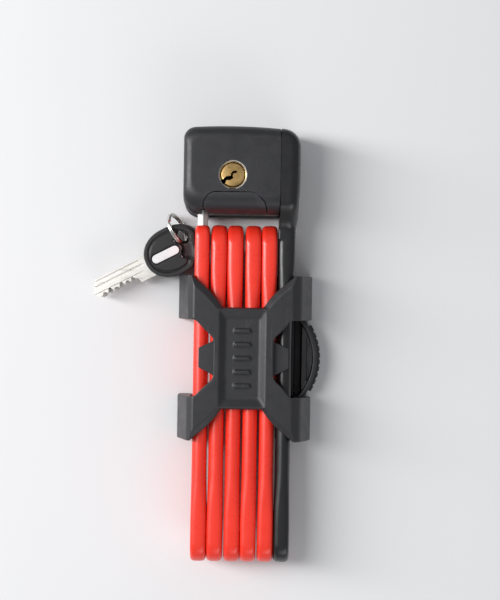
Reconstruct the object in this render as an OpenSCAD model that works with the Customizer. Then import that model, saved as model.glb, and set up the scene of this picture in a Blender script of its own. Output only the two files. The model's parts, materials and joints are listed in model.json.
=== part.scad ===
// Folding bike lock: six hinged bars, a key-operated lock body, a clip-on
// frame holder and two keys on a split ring.
// The lock lies on its back. +X runs across the stack of bars, +Y from the
// bars towards the lock body, +Z up out of the lock's front face.

/* [Bars] */
// Distance between the two pivots of one bar
pivot_pitch = 135.8; // [120:0.1:150]
// Width of a coated bar, seen from its flat side
bar_w = 18; // [17:0.1:18.4]
// Sideways distance from one bar to the next in the folded stack
bar_step = 7.6; // [7.5:0.1:7.8]
// Thickness of the steel inside a bar
core_t = 5; // [4.5:0.1:5.2]
// Width of the steel inside a bar
core_w = 14; // [12:0.1:14.4]
// Thickness of the coated bar around its pivots
coat_end_t = 7.3; // [7:0.1:7.3]
// Thickness of the coated bar between its pivots
coat_mid_t = 6.6; // [6.2:0.1:7]
// Length of the thicker stretch beside each pivot
coat_end_len = 10; // [6:1:20]

/* [Pivots] */
// Radius of a rivet's shank
rivet_r = 3; // [2.5:0.1:3.5]
// Radius of a rivet's flat head
rivet_head_r = 4.6; // [4.2:0.1:4.7]
// Radius of the rivet that joins the lock body to its bar
body_rivet_r = 4; // [3.5:0.1:4.5]

/* [Lock body] */
// Width of the lock body's casing
body_w = 43.7; // [43:0.1:44.5]
// Height of the lock body, along the bars
body_h = 40.4; // [40:0.1:41]
// Depth of the lock body, front to back
body_d = 32; // [31:0.1:33]
// Gap between the lock body and the ends of the folded bars
body_gap = 3.7; // [3.4:0.1:4.5]
// Wall thickness of the casing
shell_t = 2.5; // [2:0.1:3]
// Radius of the brass plug
plug_r = 5.3; // [5:0.1:5.4]
// How far the locking bolt travels
bolt_travel = 2.7; // [2.4:0.1:2.8]

/* [Holder] */
// Length of the holder along the bars
holder_len = 75; // [74:0.5:78]
// Width of the holder over its side walls
holder_w = 60; // [59:0.5:62]
// Thickness of the holder's front plate
plate_t = 2.8; // [2.4:0.1:3.2]
// Distance between the two frame bolt holes
bolt_spacing = 64; // [63:0.5:64.5]
// Radius of the frame bolt holes
bolt_hole_r = 2.75; // [2.5:0.05:3]

/* [Keys] */
// Length of a key's head along the key
key_head_len = 26.8; // [26:0.1:27.5]
// Width of a key's head
key_head_w = 22.4; // [22:0.1:23]
// Width of a key's blade
blade_w = 8.4; // [7.5:0.1:9]
// Thickness of a key's blade
blade_t = 2.2; // [2:0.1:2.6]
// Length of the blade outside the head
blade_len = 28.6; // [26:0.1:30]
// Angle of the keys, measured from -X towards -Y
key_tilt = 27.5; // [25:0.5:30]
// Mean radius of the split ring
ring_r = 7.2; // [7:0.1:7.6]

/* [Hidden] */

$fn = 64;
run = 0.05;                            // radial clearance of a turning fit
fit = 0.3;                             // gap between neighbours that don't touch
e = 0.01;                              // overlap that keeps a cut clean

// The middle of the whole layout, measured from the holder's centre
mid_x = -16.4;
mid_y = 5.65;

// Bars: pivots at the lock body's end are high, those at the far end are low
bar_z = 15;
high_y = 51.5;
low_y = high_y - pivot_pitch;
bar_r = bar_w / 2;
bar_top = high_y + bar_r;
function bar_x(n) = (3.5 - n) * bar_step;
washer_t = bar_step - core_t - 0.2;
head_t = 1;
pocket_r = rivet_head_r + 0.5;
edge_t = 4.4;                          // thickness of a coat's outermost layer
face_w = bar_w - 2;

// Tongue at the free end of bar 6
tongue_t = 4.5;
tongue_w = 10;
tongue_top = 73.5;
notch_depth = 2.6;
notch_low = 67;
notch_high = 71;

// Lock body
body_low = bar_top + body_gap;
body_top = body_low + body_h;
body_right = 16;
body_left = body_right - body_w;
low_edge_r = 9.5;                      // front lower edge
rear_edge_r = 3;                       // rear lower edge, tight so that it clears the bars
top_edge_r = 4.5;
side_edge_r = 4;
body_pivot = [92, 14];                 // y, z
lock_x = -5.5;
lock_y = 82.6;
sleeve_r = plug_r + 0.95;
case_gap = 0.2;
insert_high_y = 74.6;
insert_step_y = 70.7;
insert_z = 25.5;
insert_left = -17.2;
insert_right = 10.2;

// Cam and bolt: the cam's pin swings 45 degrees either side of -Y
cam_z = 6;
cam_t = 2;
cam_pin_r = 0.9;
cam_arm = bolt_travel / 2 / sin(45);
bolt_tail_z = 3.2;
bolt_tail_t = 2.4;
nose_y = [67.4, 70.6];
nose_z = [11, 17];
nose_x = bar_x(6) + tongue_t / 2 + 0.4;

// Side cover on the paddle of bar 1
cover_in = 16.4;
cover_out = 25.1;
cover_low = 57;
neck_out = 23.4;                       // outer face of bar 1 where it widens below the cover
neck_low = 38.5;
paddle_r = 11;

// Holder
plate_z = 26;
wall_in = 23.5;
wall_out = holder_w / 2;
end_y = holder_len / 2;
notch_half = 9.2;
notch_y = 23.2;
window_in = 12.9;
right_window_in = 14;
window_in_y = 8.7;
window_out = 22.5;
window_out_y = 17.4;
panel_half = 7.8;
panel_y = 18.2;
lip_z = 2.5;
lip_t = 3;
lip_in = bar_x(1) - bar_step / 2 + fit;
bolt_z = 10;
saddle_y = 19;
saddle_in = 27.3;
saddle_out = 35.8;
saddle_h = 12;
pad_t = 1.2;

// Keys: u runs along the key away from its blade, v across it
key_at = [-33, 48.3];
head_t_key = 4.4;
key_z = [8, 3.2];                      // underside of head 1 and head 2
key_2_turn = 2;
key_2_shift = [1.3, 0.5];
key_limit = bar_x(6) - coat_end_t / 2 - fit;
slot_u = 6.8;
inset_u = -3.4;
inset_reach = 9.4;
shoulder_v = -6.4;
shoulder_len = 22.2;                   // from the blade's tip to its shoulder
ring_u = 6.8;
ring_v = 8.2;
ring_lean = 22;                        // tilt of the ring's plane about its long direction
ring_thick = 0.8;
ring_wire_w = 0.9;
ring_z = (ring_r + ring_thick) * cos(ring_lean) + 0.6;

module place() {
  translate([-mid_x, -mid_y, 0]) children();
}

// Extrudes a YZ outline along X from x0 to x1
module along_x(x0, x1) {
  translate([x0, 0, 0]) rotate([90, 0, 90]) linear_extrude(x1 - x0) children();
}

// Extrudes an XZ outline along Y from y0 to y1
module along_y(y0, y1) {
  translate([0, y1, 0]) rotate([90, 0, 0]) linear_extrude(y1 - y0) children();
}

module box(low, high) {
  translate(low) cube(high - low);
}

// A cylinder along X at height z and place y
module x_rod(y, z, r, x0, x1) {
  translate([x0, y, z]) rotate([0, 90, 0]) cylinder(r = r, h = x1 - x0);
}

module z_rod(x, y, r, z0, z1) {
  translate([x, y, z0]) cylinder(r = r, h = z1 - z0);
}

// A rectangle with its own radius at each corner, from low left round to top left
module soft_rect(low, high, radii) {
  corners = [low, [high[0], low[1]], high, [low[0], high[1]]];
  inward = [[1, 1], [-1, 1], [-1, -1], [1, -1]];
  difference() {
    translate(low) square(high - low);
    for (i = [0:3]) {
      r = radii[i];
      centre = corners[i] + r * inward[i];
      if (r > 0)
        difference() {
          translate(corners[i] - 0.5 * inward[i]) mirror([inward[i][0] < 0 ? 1 : 0, 0])
            mirror([0, inward[i][1] < 0 ? 1 : 0]) square(r + 0.5);
          translate(centre) circle(r);
        }
    }
  }
}

// ---- bars ----

// A slab of the given thickness with round ends, from pivot to pivot
module bar_slab(x, t, w, y0, y1) {
  along_x(x - t / 2, x + t / 2) {
    translate([y0, bar_z - w / 2]) square([y1 - y0, w]);
    translate([y0, bar_z]) circle(w / 2);
    translate([y1, bar_z]) circle(w / 2);
  }
}

// Stepped edges: the middle layer is the widest, and the outer layers are thicker round the pivots
module coat_form(x, y1 = high_y) {
  bar_slab(x, edge_t, bar_w, low_y, y1);
  bar_slab(x, coat_mid_t, face_w, low_y, y1);
  bar_slab(x, coat_end_t, face_w - 0.6, low_y, low_y + coat_end_len);
  bar_slab(x, coat_end_t, face_w - 0.6, y1 - coat_end_len, y1);
}

module core_form(x) {
  bar_slab(x, core_t, core_w, low_y, high_y);
}

module pivot_bores(x, r) {
  for (y = [low_y, high_y]) x_rod(y, bar_z, r, x - bar_step, x + bar_step);
}

module bar_core(n) {
  x = bar_x(n);
  difference() {
    core_form(x);
    pivot_bores(x, rivet_r + run);
  }
}

module bar_coat(n) {
  x = bar_x(n);
  difference() {
    coat_form(x);
    core_form(x);
    pivot_bores(x, pocket_r);
  }
}

// The first bar has no pivot beside the stack's high end: its steel runs on into a paddle
module bar_1_form(x0, x1) {
  core_form(bar_x(1));
  along_x(x0, x1) {
    translate([high_y, bar_z - core_w / 2]) square([body_pivot[0] - high_y, core_w]);
    translate(body_pivot) circle(paddle_r);
  }
}

module bar_1_core() {
  x = bar_x(1);
  color("silver") place() difference() {
    bar_1_form(x - core_t / 2, x + core_t / 2);
    x_rod(low_y, bar_z, rivet_r + run, x - bar_step, x + bar_step);
    x_rod(body_pivot[0], body_pivot[1], body_rivet_r + run, x - bar_step, x + bar_step);
  }
}

module bar_1_coat() {
  x = bar_x(1);
  color("#29292b") place() difference() {
    union() {
      bar_slab(x, edge_t, bar_w, low_y, cover_low);
      bar_slab(x, coat_mid_t, face_w, low_y, cover_low);
      box([x, neck_low, bar_z - face_w / 2], [neck_out, cover_low, bar_z + face_w / 2]);
      bar_slab(x, coat_end_t, face_w - 0.6, low_y, low_y + coat_end_len);
    }
    box([x - bar_step, cover_low, -1], [x + bar_step, body_top, body_d]);
    bar_1_form(x - core_t / 2, x + core_t / 2);
    x_rod(low_y, bar_z, pocket_r, x - bar_step, x + bar_step);
  }
}

module bar_2_core() { color("silver") place() bar_core(2); }
module bar_3_core() { color("silver") place() bar_core(3); }
module bar_4_core() { color("silver") place() bar_core(4); }
module bar_5_core() { color("silver") place() bar_core(5); }

// The last bar ends in the tongue that the lock body holds
module bar_6_core() {
  x = bar_x(6);
  bevel = 1.2;
  color("silver") place() difference() {
    union() {
      core_form(x);
      along_x(x - tongue_t / 2, x + tongue_t / 2)
        soft_rect([high_y, bar_z - tongue_w / 2], [tongue_top, bar_z + tongue_w / 2], [0, 2, 2, 0]);
    }
    x_rod(low_y, bar_z, rivet_r + run, x - bar_step, x + bar_step);
    box([x + tongue_t / 2 - notch_depth, notch_low, 0], [x + tongue_t, notch_high, 2 * bar_z]);
    for (s = [-1, 1]) translate([x + s * tongue_t / 2, bar_top + 5, bar_z + tongue_w / 2])
      rotate([0, 45, 0]) cube([bevel, 30, bevel], center = true);
  }
}

module bar_2_coat() { color("#f03a28") place() bar_coat(2); }
module bar_3_coat() { color("#f03a28") place() bar_coat(3); }
module bar_4_coat() { color("#f03a28") place() bar_coat(4); }
module bar_5_coat() { color("#f03a28") place() bar_coat(5); }

module bar_6_coat() {
  x = bar_x(6);
  color("#f03a28") place() difference() {
    coat_form(x);
    core_form(x);
    x_rod(low_y, bar_z, pocket_r, x - bar_step, x + bar_step);
    box([x - tongue_t / 2, high_y, bar_z - tongue_w / 2], [x + tongue_t / 2, bar_top + 1, bar_z + tongue_w / 2]);
  }
}

// A rivet that joins bar n to bar n + 1
module pivot_rivet(n, y) {
  high_x = bar_x(n) + core_t / 2;
  low_x = bar_x(n + 1) - core_t / 2;
  x_rod(y, bar_z, rivet_r, low_x, high_x);
  x_rod(y, bar_z, rivet_head_r, low_x - head_t, low_x);
  x_rod(y, bar_z, rivet_head_r, high_x, high_x + head_t);
}

module pivot_washer(n, y) {
  x0 = bar_x(n + 1) + core_t / 2 + 0.1;
  difference() {
    x_rod(y, bar_z, pocket_r - 0.3, x0, x0 + washer_t);
    x_rod(y, bar_z, rivet_r + run, x0 - 1, x0 + washer_t + 1);
  }
}

module rivet_12() { color("gray") place() pivot_rivet(1, low_y); }
module rivet_23() { color("gray") place() pivot_rivet(2, high_y); }
module rivet_34() { color("gray") place() pivot_rivet(3, low_y); }
module rivet_45() { color("gray") place() pivot_rivet(4, high_y); }
module rivet_56() { color("gray") place() pivot_rivet(5, low_y); }

module washer_12() { color("dimgray") place() pivot_washer(1, low_y); }
module washer_23() { color("dimgray") place() pivot_washer(2, high_y); }
module washer_34() { color("dimgray") place() pivot_washer(3, low_y); }
module washer_45() { color("dimgray") place() pivot_washer(4, high_y); }
module washer_56() { color("dimgray") place() pivot_washer(5, low_y); }

// ---- lock body ----

// The outer form of the casing: three outlines crossed
module body_form() {
  intersection() {
    along_x(body_left, body_right)
      soft_rect([body_low, 0], [body_top, body_d], [rear_edge_r, top_edge_r, top_edge_r, low_edge_r]);
    translate([0, 0, -1]) linear_extrude(body_d + 2)
      soft_rect([body_left, body_low], [body_right, body_top], [7, 0, 0, 5]);
    along_y(body_low - 1, body_top + 1)
      soft_rect([body_left, 0], [body_right, body_d], [side_edge_r, 0, 0, side_edge_r]);
  }
}

// Room for the tongue, and the way it takes out through the back as the body turns
module tongue_way() {
  x = bar_x(6);
  half = tongue_t / 2 + 0.5;
  box([x - half, body_low - 1, -1], [x + half, tongue_top + 0.6, bar_z + tongue_w / 2 + 0.7]);
  box([x - half, body_low - 1, -1], [x + half, body_low + 3.6, body_d + 1]);
  along_x(x - half, x + half) difference() {
    translate([body_low - 1, -1]) square([body_pivot[0] - body_low + 1, body_pivot[1] + 1]);
    translate(body_pivot) circle(body_pivot[0] - tongue_top - 0.6);
  }
}

// The casing's inside, parallel to its outer form
module inner_form(gap) {
  wall = shell_t + gap;
  low_r = low_edge_r - wall;
  top_r = top_edge_r - wall;
  rear_r = max(rear_edge_r - wall, 0);
  along_x(body_left + wall, body_right - wall)
    soft_rect([body_low + wall, wall], [body_top - wall, body_d - wall], [rear_r, top_r, top_r, low_r]);
}

module insert_outline(gap) {
  high = insert_high_y + gap;
  polygon([
    [insert_left - gap, body_low - 1], [insert_left - gap, insert_step_y + 1.6],
    [insert_left + 1.9, high], [insert_right - 6, high],
    [insert_right - 0.4 + gap, insert_step_y], [insert_right + gap, body_low - 1]
  ]);
}

module screw_places() {
  for (p = [[-13.6, 77], [9.5, 77], [9.5, 98], [-22, 98]]) translate(p) children();
}

module body_shell() {
  color("#424246") place() difference() {
    body_form();
    box([body_left - 1, body_low - 1, -1], [body_right + 1, body_top + 1, shell_t]);
    inner_form(0);
    z_rod(lock_x, lock_y, sleeve_r + 0.25, body_d / 2, body_d + 1);
    translate([0, 0, insert_z - 0.25]) linear_extrude(body_d) insert_outline(0.3);
    x_rod(body_pivot[0], body_pivot[1], body_rivet_r + 0.5, body_right - shell_t - 1, body_right + 1);
    tongue_way();
  }
}

module rear_cover() {
  color("#38383b") place() difference() {
    intersection() {
      body_form();
      box([body_left - 1, body_low - 1, -1], [body_right + 1, body_top + 1, shell_t]);
    }
    tongue_way();
    screw_places() translate([0, 0, -1]) {
      cylinder(r = 1.6, h = 9);
      cylinder(r = 3, h = 2.2);
    }
  }
}

module cover_screws() {
  color("silver") place() screw_places() {
    translate([0, 0, 0.2]) difference() {
      cylinder(r = 2.8, h = 1);
      translate([0, 0, -0.5]) cylinder(r = 1.3, h = 1.1, $fn = 6);
    }
    translate([0, 0, 1.2]) cylinder(r = 1.45, h = 5);
  }
}

module front_insert() {
  color("#3d3d40") place() difference() {
    intersection() {
      body_form();
      translate([0, 0, insert_z]) linear_extrude(body_d) insert_outline(0);
    }
    inner_form(0);
    tongue_way();
  }
}

// Die-cast case that carries the cylinder, the bolt and the body's rivet
module lock_case() {
  color("#8f9094") place() difference() {
    inner_form(case_gap);
    translate([0, 0, insert_z - 0.6]) linear_extrude(body_d)
      translate([body_left, body_low - 1]) square([body_w, insert_high_y - body_low + 1.6]);
    z_rod(lock_x, lock_y, sleeve_r, cam_z + cam_t, body_d);
    z_rod(lock_x, lock_y, plug_r + 0.3, bolt_tail_z - 1, cam_z + cam_t + e);
    pin_chambers(1.25, 10.6);
    box([lock_x - 5.3, nose_y[0] - 0.2, bolt_tail_z - 1], [lock_x + 3.7, lock_y + 2, cam_z - 0.2]);
    box([nose_x - 12, nose_y[0] - 0.2, bolt_tail_z - 1],
        [lock_x + 3.7, nose_y[1] + 0.2, nose_z[1] + 0.2]);
    x_rod(body_pivot[0], body_pivot[1], body_rivet_r + run, 5.8, body_right);
    tongue_way();
    screw_places() translate([0, 0, 2]) cylinder(r = 1.5, h = 5);
  }
}

// Chambers for the spring-loaded pins, in a row along the cylinder
module pin_chambers(r, reach) {
  for (i = [0:4])
    translate([lock_x, lock_y, 11 + 3.6 * i]) rotate([-90, 0, 0])
      translate([0, 0, sleeve_r - 0.5]) cylinder(r = r, h = reach - sleeve_r + 0.5, $fn = 24);
}

module cylinder_sleeve() {
  color("#c9c9cc") place() difference() {
    z_rod(lock_x, lock_y, sleeve_r, cam_z + cam_t, body_d - 1.2);
    z_rod(lock_x, lock_y, plug_r + run, 0, body_d);
    for (i = [0:4])
      translate([lock_x, lock_y, 11 + 3.6 * i]) rotate([-90, 0, 0]) cylinder(r = 1.15, h = 12, $fn = 24);
  }
}

// Crooked slot for the key
module keyway() {
  rotate(37) {
    translate([-3.6, -1.3]) square([3.6, 1.3]);
    translate([-0.7, -0.5]) square([4.2, 1.3]);
    translate([-3.2, -2]) square([1.2, 1.4]);
  }
}

module cylinder_plug() {
  color("#caa84f") place() difference() {
    z_rod(lock_x, lock_y, plug_r, cam_z + cam_t, body_d - 1.6);
    translate([lock_x, lock_y, 12]) linear_extrude(body_d) keyway();
  }
}

// The plug's tail disc with its eccentric pin
module plug_cam() {
  color("#9a9a9e") place() {
    z_rod(lock_x, lock_y, plug_r - 0.3, cam_z, cam_z + cam_t);
    z_rod(lock_x + bolt_travel / 2, lock_y - cam_arm * cos(45), cam_pin_r, bolt_tail_z + 0.2, cam_z);
  }
}

// Spring clip in a groove of the case, behind the front wall
module plug_clip() {
  color("#707074") place() difference() {
    z_rod(lock_x, lock_y, sleeve_r + 0.2, body_d - 2.2, body_d - 1.25);
    z_rod(lock_x, lock_y, sleeve_r, 0, body_d);
    box([lock_x - 1.5, lock_y - 9, 20], [lock_x + 1.5, lock_y, body_d]);
  }
}

module tumbler_pins() {
  color("#c9a94a") place() for (i = [0:4])
    translate([lock_x, lock_y + plug_r + 0.15, 11 + 3.6 * i]) rotate([-90, 0, 0])
      cylinder(r = 1.05, h = 1.8 + 0.3 * (i % 3), $fn = 24);
}

module tumbler_springs() {
  color("silver") place() for (i = [0:4])
    translate([lock_x, lock_y + plug_r + 0.3 + 1.8 + 0.3 * (i % 3), 11 + 3.6 * i]) rotate([-90, 0, 0])
      difference() {
        cylinder(r = 0.95, h = 2.3 - 0.3 * (i % 3), $fn = 24);
        translate([0, 0, -1]) cylinder(r = 0.6, h = 9, $fn = 24);
      }
}

// Nose that enters the tongue's notch, on a tail with a slot for the cam's pin
module locking_bolt() {
  tail_x = [lock_x - 2.2, lock_x + 3.4];
  color("#b9babd") place() difference() {
    union() {
      box([nose_x, nose_y[0], nose_z[0]], [tail_x[1], nose_y[1], nose_z[1]]);
      box([tail_x[0], nose_y[0], bolt_tail_z], [tail_x[1], nose_y[1], nose_z[1]]);
      box([tail_x[0], nose_y[0], bolt_tail_z], [tail_x[1], lock_y + 1, bolt_tail_z + bolt_tail_t]);
    }
    box([lock_x + bolt_travel / 2 - cam_pin_r - 0.12, lock_y - cam_arm - 1.4, 0],
        [lock_x + bolt_travel / 2 + cam_pin_r + 0.12, lock_y - 0.2, cam_z]);
  }
}

// ---- side cover on bar 1 ----

module cover_outline() {
  soft_rect([body_low - 1, 0], [body_top, body_d], [8, top_edge_r, top_edge_r, 8]);
  translate([cover_low, bar_z - bar_r]) square([14, bar_w]);
}

module side_cover() {
  color("#3a3a3d") place() difference() {
    intersection() {
      along_x(cover_in, cover_out) cover_outline();
      translate([0, 0, -1]) linear_extrude(body_d + 2) union() {
        soft_rect([cover_in, body_low + 2], [cover_out, body_top], [0, 0, 5.5, 0]);
        polygon([
          [cover_in, cover_low], [neck_out, cover_low],
          [cover_out, body_low + 2.1], [cover_in, body_low + 2.1]
        ]);
      }
    }
    bar_1_form(0, bar_x(1) + core_t / 2);
    x_rod(body_pivot[0], body_pivot[1], 6.6, 0, bar_x(1) + core_t / 2 + 1.6);
  }
}

module body_rivet() {
  outer = bar_x(1) + core_t / 2;
  color("gray") place() {
    x_rod(body_pivot[0], body_pivot[1], body_rivet_r, 6, outer);
    x_rod(body_pivot[0], body_pivot[1], 6.4, outer, outer + 1.5);
  }
}

module body_washer() {
  color("dimgray") place() difference() {
    x_rod(body_pivot[0], body_pivot[1], 7.5, body_right + 0.1, cover_in);
    x_rod(body_pivot[0], body_pivot[1], body_rivet_r + run, 0, cover_out);
  }
}

// ---- holder ----

// Section across the holder: front plate, sloping shoulders and side walls
module holder_section() {
  top = plate_z + plate_t;
  difference() {
    polygon([
      [-wall_out, 0], [-wall_out, 9], [-26.5, top - 3.5], [-23, top],
      [23.8, top], [27.3, top - 3.5], [wall_out + 1, 14], [wall_out + 1, 0]
    ]);
    translate([-wall_in, -1]) square([2 * wall_in, plate_z + 1]);
  }
  translate([lip_in, lip_z]) square([wall_in - lip_in + e, lip_t]);
}

// Gap between the two arms at one end
module arm_gap() {
  polygon([
    [-notch_half, notch_y], [notch_half, notch_y], [11.5, 26.7], [15.8, 31.2], [wall_in, end_y + e],
    [wall_in, end_y + 5], [-wall_in, end_y + 5], [-wall_in, end_y + e], [-15.8, 31.2], [-11.5, 26.7]
  ]);
}

// Window in one side of the front plate; on the left it also opens the wall
module side_window(inner, reach) {
  polygon([
    [inner, -window_in_y], [inner, window_in_y], [inner + 2.4, 11.4], [window_out, window_out_y],
    [reach, window_out_y], [reach, -window_out_y], [window_out, -window_out_y], [inner + 2.4, -11.4]
  ]);
}

module holder_shell() {
  ridge_h = 1.4;
  color("#404144") place() difference() {
    union() {
      along_y(-end_y, end_y) holder_section();
      for (s = [-1, 1]) translate([s * 10.3, 0, plate_z + plate_t - ridge_h])
        along_y(-notch_y, notch_y) circle(2 * ridge_h);
    }
    for (m = [0, 1]) mirror([0, m, 0]) translate([0, 0, plate_z - 1]) linear_extrude(20) arm_gap();
    translate([0, 0, -1]) linear_extrude(50) mirror([1, 0]) side_window(window_in, wall_out + 5);
    box([0, -window_out_y, lip_z + lip_t], [wall_out + 5, window_out_y, plate_z - 2]);
    translate([0, 0, plate_z - 3]) linear_extrude(20) side_window(right_window_in, wall_out + 5);
    box([-panel_half, -panel_y, plate_z + plate_t - 1], [panel_half, panel_y, plate_z + 20]);
    box([-wall_in, -end_y - 1, plate_z - 2], [wall_in, end_y + 1, plate_z]);
    box([wall_in + 0.5, -saddle_y, 0], [wall_out + 2, saddle_y, saddle_h]);
    for (s = [-1, 1]) x_rod(s * bolt_spacing / 2, bolt_z, bolt_hole_r, wall_in - 1, wall_out + 2);
  }
}

// Inner plate whose two tabs press on the outer bars
module retainer_plate() {
  z0 = bar_z + bar_r + 0.4;
  tab_z = z0 + 1;
  color("#47484b") place() {
    translate([0, 0, z0]) linear_extrude(tab_z - z0) polygon([
      [-20, -4.3], [-20, 4.6], [-13.4, 7.4], [-11, 15], [11, 15], [14.4, 7.4],
      [21, 4.6], [21, -4.3], [14.4, -7.4], [11, -15], [-11, -15], [-13.4, -7.4]
    ]);
    box([-9, -14, tab_z], [9, 14, plate_z]);
  }
}

// Bowed ear that the frame strap runs behind
module strap_saddle() {
  bow = saddle_out - pad_t - saddle_in;
  arc_r = (saddle_y * saddle_y + bow * bow) / (2 * bow);
  color("#333336") place() difference() {
    intersection() {
      z_rod(saddle_out - pad_t - arc_r, 0, arc_r, 0.5, saddle_h);
      box([saddle_in, -saddle_y, 0], [saddle_out, saddle_y, saddle_h]);
    }
    intersection() {
      z_rod(saddle_out - pad_t - arc_r, 0, arc_r - 2.2, -1, saddle_h + 1);
      box([saddle_in + 2.2, -14, -1], [saddle_out, 14, saddle_h + 1]);
    }
  }
  color("#333336") place() {
    box([wall_in + 0.5, -saddle_y, 0.5], [saddle_in + 1, saddle_y, lip_z]);
    for (s = [-1, 1]) box([wall_in + 0.5, s * 18.2 - 0.8, 0.5], [saddle_in + 1, s * 18.2 + 0.8, saddle_h]);
  }
}

module frame_pad() {
  bow = saddle_out - pad_t - saddle_in;
  arc_r = (saddle_y * saddle_y + bow * bow) / (2 * bow);
  color("#1d1d1f") place() intersection() {
    difference() {
      z_rod(saddle_out - pad_t - arc_r, 0, arc_r + pad_t, 1.5, saddle_h - 1);
      z_rod(saddle_out - pad_t - arc_r, 0, arc_r, 0, saddle_h + 1);
    }
    box([saddle_in, -14, 0], [saddle_out + 1, 14, saddle_h]);
  }
}

// ---- keys ----

// Places children in a key's own frame: +X along the key away from its blade
module key_frame(n) {
  translate([key_at[0], key_at[1], 0]) rotate(key_tilt) {
    if (n == 1) children();
    if (n == 2) translate([slot_u, 1, 0] + [key_2_shift[0], key_2_shift[1], 0]) rotate(key_2_turn)
      translate([-slot_u, -1, 0]) children();
  }
}

module head_outline() {
  end_r = 9.4;
  hull() {
    circle(key_head_w / 2);
    for (s = [-1, 1]) translate([s * (key_head_len / 2 - end_r), 0]) circle(end_r);
  }
}

// Bent slot that the ring passes through
module ring_slot() {
  slot_w = 6;
  bend_r = 9;
  intersection() {
    translate([slot_u - bend_r, 0]) difference() {
      circle(bend_r + slot_w / 2);
      circle(bend_r - slot_w / 2);
    }
    polygon([[0, 0], [20, -14], [20, 20]]);
  }
}

module inset_outline(r, reach) {
  translate([-reach / 2, 0]) circle(r);
  translate([reach / 2, 0]) circle(r);
  translate([-reach / 2, -r]) square([reach, 2 * r]);
}

module key_head(n) {
  z0 = key_z[n - 1];
  difference() {
    key_frame(n) difference() {
      translate([0, 0, z0]) linear_extrude(head_t_key) head_outline();
      translate([0, 0, z0 - 1]) linear_extrude(head_t_key + 2) ring_slot();
      translate([inset_u, 0, z0 + head_t_key - 0.8]) linear_extrude(2) inset_outline(2.3, inset_reach);
      box([-20, shoulder_v, z0 + head_t_key / 2 - blade_t / 2], [3, blade_w / 2, z0 + head_t_key / 2 + blade_t / 2]);
    }
    box([key_limit, key_at[1] - 20, -1], [key_limit + 20, key_at[1] + 20, body_d]);
  }
}

module key_inset(n) {
  z0 = key_z[n - 1];
  key_frame(n) translate([inset_u, 0, z0 + head_t_key - 0.8]) linear_extrude(0.6) inset_outline(2, inset_reach);
}

module key_blade(n) {
  z0 = key_z[n - 1] + head_t_key / 2 - blade_t / 2;
  tip = -key_head_len / 2 - blade_len + 1;
  bits = [[0, 1.4], [3, 2.2], [6, 1.2], [9, 2.4], [12, 1.6], [15, 2]];
  key_frame(n) difference() {
    translate([0, 0, z0]) linear_extrude(blade_t) difference() {
      polygon([
        [3, shoulder_v], [3, blade_w / 2], [tip + 3.4, blade_w / 2],
        [tip, -1.6], [tip + 1.7, -blade_w / 2 + 0.4],
        [tip + shoulder_len - 1, -blade_w / 2 + 0.4], [tip + shoulder_len, shoulder_v]
      ]);
      for (b = bits) translate([tip + 4.4 + b[0], -blade_w / 2 - 1.6 + b[1]]) circle(1.6, $fn = 16);
    }
    for (v = [-0.6, 2.2]) box([tip - 1, v, z0 + blade_t - 0.5], [-key_head_len / 2 + 2, v + 1.2, z0 + 5]);
  }
}

module key_ring() {
  color("silver") place() translate([key_at[0], key_at[1], 0]) rotate(key_tilt)
    translate([ring_u, ring_v, ring_z]) rotate([0, 90 - ring_lean, 0]) rotate_extrude() {
      for (s = [-1, 1]) translate([ring_r, s * 0.5]) square([2 * ring_thick, ring_wire_w], center = true);
    }
}

module key_1_head() { color("#1f1f21") place() key_head(1); }
module key_1_inset() { color("#e9e9ea") place() key_inset(1); }
module key_1_blade() { color("#c8c2b6") place() key_blade(1); }
module key_2_head() { color("#1f1f21") place() key_head(2); }
module key_2_inset() { color("#e9e9ea") place() key_inset(2); }
module key_2_blade() { color("#c8c2b6") place() key_blade(2); }

body_shell();
rear_cover();
front_insert();
lock_case();
cover_screws();
cylinder_sleeve();
cylinder_plug();
plug_cam();
plug_clip();
tumbler_pins();
tumbler_springs();
locking_bolt();
side_cover();
body_rivet();
body_washer();
bar_1_core();
bar_1_coat();
bar_2_core();
bar_2_coat();
bar_3_core();
bar_3_coat();
bar_4_core();
bar_4_coat();
bar_5_core();
bar_5_coat();
bar_6_core();
bar_6_coat();
rivet_12();
rivet_23();
rivet_34();
rivet_45();
rivet_56();
washer_12();
washer_23();
washer_34();
washer_45();
washer_56();
holder_shell();
retainer_plate();
strap_saddle();
frame_pad();
key_ring();
key_1_blade();
key_1_head();
key_1_inset();
key_2_blade();
key_2_head();
key_2_inset();
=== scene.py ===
import json
import math

import bmesh
import bpy
from mathutils import Matrix, Vector


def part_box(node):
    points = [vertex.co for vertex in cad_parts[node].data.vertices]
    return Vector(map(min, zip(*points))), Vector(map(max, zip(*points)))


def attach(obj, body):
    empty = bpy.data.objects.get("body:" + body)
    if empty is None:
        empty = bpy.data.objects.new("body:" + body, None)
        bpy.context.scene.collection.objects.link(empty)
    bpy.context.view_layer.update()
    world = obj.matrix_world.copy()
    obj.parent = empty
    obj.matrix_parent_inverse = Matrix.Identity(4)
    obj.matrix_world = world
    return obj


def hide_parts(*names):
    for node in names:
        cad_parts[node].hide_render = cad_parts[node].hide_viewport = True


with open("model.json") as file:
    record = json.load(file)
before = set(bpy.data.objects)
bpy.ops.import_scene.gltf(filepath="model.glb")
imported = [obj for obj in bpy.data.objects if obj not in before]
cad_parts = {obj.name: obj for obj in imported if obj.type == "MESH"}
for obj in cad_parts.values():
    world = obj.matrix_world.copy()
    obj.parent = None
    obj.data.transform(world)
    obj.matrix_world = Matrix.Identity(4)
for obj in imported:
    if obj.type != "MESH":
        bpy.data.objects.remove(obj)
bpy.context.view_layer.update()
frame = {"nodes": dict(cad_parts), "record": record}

# Pieces are built in millimetres, in the row frame, and scaled to metres at the end.
MM = 0.001
BAR_R = 9.0                  # half the width of a coated bar


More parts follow.
